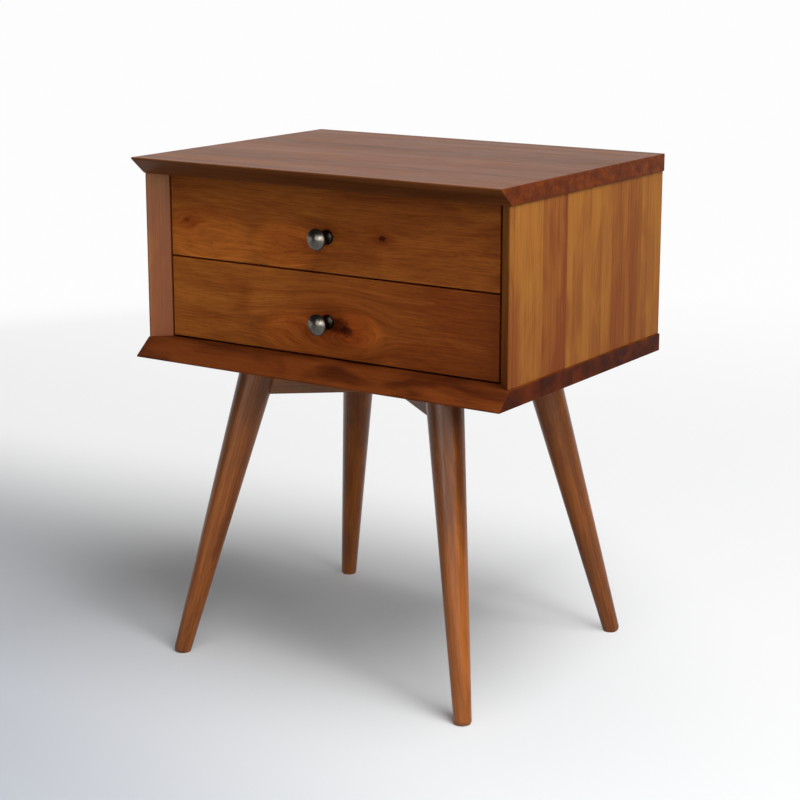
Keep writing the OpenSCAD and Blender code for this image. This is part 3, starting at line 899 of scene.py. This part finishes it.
# %% Top and bottom finishes
top_table = [(-0.191, 0.50, 0.1), (-0.122, 0.44, 0.55), (-0.047, 0.53, 0.3), (0.034, 0.41, 0.8),
             (0.113, 0.5, 0.45), (0.191, 0, 0)]
top_look = {"Streaks": 0.8, "Clouds": 0.2, "Rings": 0.1, "Fibres": 0.3, "Gloss": 0.36,
            "Fibre length": 2.0, "Edge wear": 0.35, "End tint": (1.0, 0.6, 0.1, 1)}
top_wood = wood("top_wood", "X", (132, 78, 41), (90, 49, 22), table=top_table, fall=0.6,
                shine=1.14, **top_look)
bottom_table = [(-0.191, 0.5, 0.996), (-0.11, 0.46, 0.25), (-0.03, 0.55, 0.9), (0.06, 0.45, 0.4),
                (0.13, 0.5, 0.05), (0.191, 0, 0)]
# The strong Edge wear here paints the pale line on the rubbed mitre edges: partly wear, partly a
# painted highlight.
bottom_look = {"Streaks": 0.2, "Clouds": 0.9, "Rings": 0.06, "Fibres": 0.25, "Gloss": 0.38,
               "Edge wear": 0.8, "End tint": (0.62, 0.42, 0.1, 1)}
bottom_wood = wood("bottom_wood", "X", (117, 58, 23), (75, 32, 12), table=bottom_table,
                   **bottom_look)
coat(top, top_wood)
coat(bottom, bottom_wood)
print("top and bottom stained")

# %% [markdown]
# The sides show their staves plainly: honey-coloured ones beside red-brown ones, all with
# upright grain. No two panels are glued up alike, so each side has its own table. A negative
# fall paints light on both, lighter towards the top, and the left one has the glossier coat.

# %% Side finishes
right_table = [(-0.1685, 0.6, 0.2), (-0.160, 0.82, 0.5), (-0.099, 0.30, 0.75),
               (-0.044, 0.76, 0.1), (0.012, 0.84, 0.35), (0.063, 0.58, 0.9),
               (0.100, 0.52, 0.6), (0.137, 0.84, 0.4), (0.191, 0, 0)]
left_table = [(-0.1685, 0.28, 0.45), (-0.128, 0.8, 0.15), (-0.071, 0.9, 0.85),
              (-0.015, 0.35, 0.3), (0.03, 0.82, 0.7), (0.088, 0.42, 0.05),
              (0.131, 0.86, 0.55), (0.191, 0, 0)]
side_look = {"Streaks": 0.4, "Clouds": 0.45, "Rings": 0.12, "Fibres": 0.32, "Gloss": 0.4,
             "Fibre length": 4.0, "Heart": (0, 0.01, -0.12), "Ring width": 0.003}
# The negative fall and its Tone paint light on each side: lighter towards the top.
for board, table, shine in ((left, left_table, 1.5), (right, right_table, 1.12)):
    side_wood = wood(board.name + "_wood", "Z", (165, 107, 46), (127, 64, 29), table=table,
                     shine=shine, fall=-1.6, Tone=-0.85, **side_look)
    coat(board, side_wood)
print("sides stained")

# %% [markdown]
# The upper front has two small knots. The lower one has a larger knot just beside the knob,
# made of two that run together, and grain that bows round it; their dark also paints part of
# the knob's shadow there. Each row is a place, a size and a depth. The pale patches are figure:
# fibres that dive into the board there, and take less stain. Each front has its own log and
# tone, and the lower one darkens to the right.

# %% Front finish
front_look = {"Streaks": 0.45, "Clouds": 0.45, "Rings": 0.1, "Fibres": 0.45, "Pores": 0.45,
              "Gloss": 0.4, "Edge wear": 0.05, "Heart": (0, 0.06, -0.02), "Ring width": 0.007,
              "End tint": (0.6, 0.45, 0.4, 1)}
upper_knots = [((-0.205, 0, 0.534), 0.0038, 0.5), ((0.076, 0, 0.536), 0.0042, 0.85)]
upper_patches = [((-0.172, 0, 0.514), 0.014, 0.7), ((-0.060, 0, 0.516), 0.010, 0.8)]
# The lower knots also paint part of the knob's shadow beside it.
lower_knots_and_knob_shade = [((0.0145, 0, 0.4305), 0.0122, 0.8), ((0.0265, 0, 0.4255), 0.0075, 0.8)]
lower_patches = [((-0.048, 0, 0.414), 0.010, 0.6), ((0.045, 0, 0.427), 0.007, 0.6)]
for board, knots, patches, log, tone, fall in (
        (upper_front, upper_knots, upper_patches, 3.33, 0.04, 0.0),
        (lower_front, lower_knots_and_knob_shade, lower_patches, 1.85, -0.2, 2.2)):
    front_wood = wood(board.name + "_wood", "X", (178, 104, 42), (132, 65, 25), knots=knots,
                      patches=patches, log=log, fall=fall, Tone=tone, **front_look)
    coat(board, front_wood)
print("fronts stained")

# %% [markdown]
# Legs and rails come from the same stock. A leg reads its grain from the attribute, and has
# its own tone and fall: on two of the four the fall paints shade at the top, where the case
# shades them, and paints light towards the foot.
# Each leg's pattern starts a GRAIN_STEP further along than the last, so its tone makes up for
# that. Each rail has its own turn in plan. The rails keep the imported model's solids, because
# those have the half-lap joint and the coped ends already.

# %% Leg and rail finishes
leg_look = {"Streaks": 0.65, "Clouds": 0.45, "Rings": 0.25, "Fibres": 0.45, "Gloss": 0.24,
            "Fibre length": 2.0}
# The falls paint shade at the top of two legs, under the case, and light towards their feet.
leg_tones_and_painted_shade = ((-0.15, 0.0), (-0.55, 3.3), (-0.35, 2.0), (0.0, 0.0))
for seed, (leg, (tone, fall)) in enumerate(zip(legs, leg_tones_and_painted_shade)):
    leg_wood = wood(leg.name + "_wood", "own", (176, 99, 30), (120, 62, 15), fall=fall,
                    Tone=tone + fall * GRAIN_STEP * seed, shine=1.4, glint=(1, 0.95, 0.88, 1),
                    **leg_look)
    coat(leg, leg_wood)
turn = atan(LEG_TOP_Y / LEG_TOP_X)
for node, way, shine in (("rail_upper_lap", -1, 1.5), ("rail_lower_lap", 1, 1.12)):
    rail_wood = wood(node + "_wood", "X", (146, 83, 38), (101, 55, 24), turn=way * turn,
                     shine=shine, **leg_look)
    coat(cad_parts[node], rail_wood)
print("legs and rails stained")

# %% [markdown]
# ## Inside: boxes, plywood and dowels
# The drawer boxes are pale, sealed wood whose grain runs along each board. Plywood has a
# peeled face, so its rings are wide and wander far. The dowels are plain birch.

# %% Box, plywood and dowel finishes
box_look = {"Streaks": 0.35, "Clouds": 0.2, "Rings": 0.3, "Fibres": 0.16, "Gloss": 0.5,
            "Edge wear": 0.1, "End tint": (0.72, 0.62, 0.5, 1)}
box_long = wood("box_wood_long", "Y", (222, 186, 136), (196, 150, 100), **box_look)
box_wide = wood("box_wood_wide", "X", (220, 183, 134), (192, 147, 98), **box_look)
ply_look = {"Streaks": 0.25, "Clouds": 0.4, "Rings": 0.14, "Fibres": 0.25, "Gloss": 0.5,
            "Edge wear": 0.1, "Ring width": 0.03, "Heart": (0, 0.3, -0.3)}
back_ply = wood("back_plywood", "X", (150, 98, 60), (116, 72, 42), **ply_look)
bottom_ply = wood("bottom_plywood", "X", (214, 176, 128), (190, 148, 100), **ply_look)
dowel_wood = wood("dowel_wood", "Z", (222, 188, 140), (200, 158, 110), **box_look)
for finish, slot, ends in (
        (box_long, "box_wood", ("box_left_side", "box_right_side")),
        (box_wide, "box_wood", ("box_front", "box_back")),
        (bottom_ply, "bottom_plywood", ("box_bottom",)),
        (back_ply, "back_plywood", ("back_panel",)),
        (dowel_wood, "dowel_wood", ("_dowels",))):
    for node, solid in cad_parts.items():
        if node.endswith(ends):
            coat(solid, finish)
print("boxes, plywood and dowels finished")

# %% [markdown]
# ## Steel
# The slides are zinc plated, the ball cages plain bright steel, and the screws a little
# yellower. One function makes all three from the plated steel group.

# %% Steel finishes
def steel(name, color, gloss):
    """A plated or bright steel."""
    material, tree, shader = new_finish(name)
    place = put(tree, "TexCoord").outputs["Object"]
    made = use(tree, steel_group, {"Place": place, "Color": color, "Gloss": gloss})
    fill(shader.inputs, {"Base Color": made["Color"], "Roughness": made["Roughness"],
                         "Metallic": 1.0})
    add_relief(shader, made["Height"], depth=0.00003, edge=0.0004)
    return material


zinc = steel("zinc_steel", stain(196, 198, 202), 0.24)
cage = steel("cage_steel", stain(176, 176, 174), 0.3)
screw = steel("screw_steel", stain(196, 184, 150), 0.26)
for finish, slot, word in (
        (zinc, "zinc_steel", "_member"), (cage, "cage_steel", "_cage"),
        (screw, "screw_steel", "screw")):
    for node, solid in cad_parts.items():
        if word in node:
            coat(solid, finish)
print("steel finished")

# %% [markdown]
# ## Pewter knobs
# The knobs are turned and then darkened. The lathe leaves fine circles, so the pattern reads
# the distance from the knob's own axis. The dark patina stays in the waist, under the head and
# round the rim, and has rubbed off the crown.

# %% Pewter
pewter, tree, shader = new_finish("pewter")
own = put(tree, "Attribute", attribute_name="grain_place").outputs["Vector"]
radius = span("LENGTH", arrow("MULTIPLY", own, (1, 1, 0)))
height = feed("SeparateXYZ", own)[2]
circles = texture("Noise", join(radius), 2600)[0]
tarnish = stretch(cloudy(own, (0.006, 0.006, 0.006), 4, 0.65, 0.6), 0.35, 0.7)
low_down = stretch(height, rim_z + 0.0012, rim_z - 0.003)
near_rim = stretch(radius, KNOB_RADIUS * 0.82, KNOB_RADIUS * 1.0)
patina = calc("MAXIMUM", times(low_down, 0.95), times(near_rim, 0.8))
patina = calc("MAXIMUM", patina, times(tarnish, 0.45))
color = blend(patina, stain(120, 113, 103), stain(26, 22, 19))
dull = plus(times(patina, 0.14), times(circles, 0.1))
fill(shader.inputs, {"Base Color": color, "Roughness": plus(0.14, dull), "Metallic": 1.0})
add_relief(shader, circles, depth=0.00002)
for knob in knobs:
    coat(knob, pewter)
print("knobs finished")

# %% [markdown]
# ## Floor
# The floor is a wide, pale sheet. Close to the nightstand it is an ordinary matt surface that
# takes shadows, with painted shade that makes it greyer and bluer in front on the left, and it
# hands back less light to the wood than its own paleness would, so that the underside stays
# dark. Towards the back and the right, and far out on every side, the camera sees it fade to
# plain white. Reflections see that white only behind on the left. Neither adds any light to
# the wood.

# %% Floor
put_tools_down()
bpy.ops.mesh.primitive_circle_add(vertices=128, radius=40, fill_type="NGON")
floor = bpy.context.object
floor.name = "studio_floor"
sheet, tree, shader = new_finish("floor_paper")
spot = put(tree, "TexCoord").outputs["Object"]
x, y = feed("SeparateXYZ", spot)[:2]
# Painted shade: the paper is darker and bluer in front on the left, where less lamp light falls.
painted_floor_shade = stretch(calc("MULTIPLY_ADD", x, -0.6, times(y, -1)), 0.1, 0.7)
paper = blend(painted_floor_shade, (0.76, 0.775, 0.785, 1), (0.55, 0.575, 0.625, 1))
rays = put(tree, "LightPath").outputs
paper = blend(rays["Is Diffuse Ray"], paper, (0.42, 0.42, 0.43, 1))
fill(shader.inputs, {"Base Color": paper, "Roughness": 0.9, "Specular IOR Level": 0.1})

away = calc("MULTIPLY_ADD", calc("MINIMUM", x, 0), -0.1, y)
away = calc("MULTIPLY_ADD", calc("MAXIMUM", x, 0), 0.95, away)
near_fade = stretch(away, 0.05, 0.65, 0, 0.75)
far_fade = stretch(away, 0.3, 2.5, 0, 0.22)
all_round = stretch(span("LENGTH", spot), 1.0, 2.4, 0, 0.98)
fade = calc("MAXIMUM", plus(near_fade, far_fade), all_round)
for_camera = times(rays["Is Camera Ray"], fade)
mirrored = stretch(calc("MULTIPLY_ADD", x, -1.0, y), 0.1, 0.9, 0, 0.95)
seen = calc("MAXIMUM", rays["Is Glossy Ray"], rays["Is Transmission Ray"])
white = calc("MAXIMUM", for_camera, times(seen, mirrored))
glow = put(tree, "Emission", (1, 1, 1, 1), 1.0).outputs[0]
surface = feed("MixShader", white, shader.outputs[0], glow)[0]
wire(tree.nodes["Material Output"].inputs[0], surface)
floor.data.materials.append(sheet)
print("floor", round(floor.dimensions.x), "m wide")

# %% [markdown]
# ## Light
# A studio has a bright backdrop behind the piece and a darker room in front of it, where the
# camera stands. The world copies that for reflections: what a glossy surface sees depends on
# the direction, from nearly dark in front to white behind. The matt part of every surface gets
# only a weak fill from it, which is stronger low down at the back and on the left, where no
# lamp reaches. The camera itself always sees plain white.

# %% World
world = bpy.data.worlds.new("studio")
bpy.context.scene.world = world
world.use_nodes = True
tree = world.node_tree
background = tree.nodes["Background"]
way = put(tree, "TexCoord").outputs["Generated"]
behind = span("DOT_PRODUCT", way, (-0.35, 0.9, 0.25))
room = stretch(behind, 0.0, 0.7, 0.04, 1.0)
left_back = span("DOT_PRODUCT", way, (-0.5, 0.85, 0))
low_down = stretch(feed("SeparateXYZ", way)[2], 0.5, 0.0)
low_fill = plus(times(low_down, stretch(left_back, -0.2, 0.6, 0.0, 0.45)), 0.12)
rays = put(tree, "LightPath").outputs
seen = calc("MAXIMUM", rays["Is Glossy Ray"], rays["Is Transmission Ray"])
level = feed("MapRange", seen, 0, 1, low_fill, room)[0]
wire(background.inputs["Strength"], calc("MAXIMUM", rays["Is Camera Ray"], level))
background.inputs["Color"].default_value = (1, 1, 1, 1)
print("world", world.name)

# %% [markdown]
# Five soft lamps do the rest. The strongest hangs high on the right, lights the top and throws
# the shadow on the floor. A smaller one stands lower on the right: it lights the side, and
# draws the shadows of the legs out into streaks. The largest square one stands beside the
# camera and lights the front, with a faint one straight ahead of the drawers. The last is a
# low, wide strip that shows in gloss only, and gives the legs and the knobs their highlight. A
# surface that faces a lamp of level 1 renders about as its colour is written: for a lamp at
# distance d that takes pi squared times d squared watts, and the levels share it out.

# %% Lamps
LAMP_AIM = Vector((0, 0, 0.42))
PI_SQUARED = 9.87


def soft_lamp(name, turn, height, distance, size, level, matt=True, wide=1.0):
    """A lamp that looks at the case from a turn in plan and a height, both in degrees.

    wide stretches it sideways, and with matt off it shows in gloss only."""
    turn, height = radians(turn), radians(height)
    way = Vector((cos(height) * cos(turn), cos(height) * sin(turn), sin(height)))
    lamp = bpy.data.objects.new(name, bpy.data.lights.new(name, "AREA"))
    lamp.data.shape, lamp.data.size, lamp.data.size_y = "RECTANGLE", size * wide, size
    lamp.data.energy = PI_SQUARED * distance ** 2 * level
    lamp.location = LAMP_AIM + way * distance
    lamp.rotation_euler = way.to_track_quat("Z", "Y").to_euler()
    lamp.visible_camera = False
    lamp.visible_diffuse = matt
    bpy.context.collection.objects.link(lamp)
    print(name, round(lamp.data.energy, 1), "W")


soft_lamp("overhead_lamp", -18, 63, distance=2.4, size=1.6, level=0.95)
soft_lamp("side_lamp", -20, 24, distance=2.4, size=0.7, level=0.22)
soft_lamp("camera_lamp", -36, 32, distance=2.6, size=1.8, level=0.41)
soft_lamp("front_lamp", -92, 4, distance=2.3, size=0.4, level=0.06)
soft_lamp("highlight_lamp", -68, 4, distance=2.3, size=0.9, level=0.75, matt=False, wide=6.0)

# %% [markdown]
# ## Camera
# The camera stands to the right of the front, a little above the top, and looks slightly down.
# Its long lens keeps the perspective gentle, and a small shift moves the nightstand up in the
# frame without tipping the camera. Standard is the view transform that shows colours as they
# are.

# %% Camera
LOOK_DOWN, LOOK_LEFT = 12.69, 33.64
camera = bpy.data.objects.new("camera", bpy.data.cameras.new("camera"))
bpy.context.collection.objects.link(camera)
camera.location = (1.285, -1.931, 0.883)
camera.rotation_euler = (radians(90 - LOOK_DOWN), 0, radians(LOOK_LEFT))
camera.data.lens = 88
camera.data.shift_y = -0.05
bpy.context.scene.camera = camera
bpy.context.scene.view_settings.view_transform = "Standard"
print("camera", [round(v, 2) for v in camera.location])

# %% [markdown]
# ## End
# The dressed model must take the same room as the imported one.

# %% Finish
print("scene built")
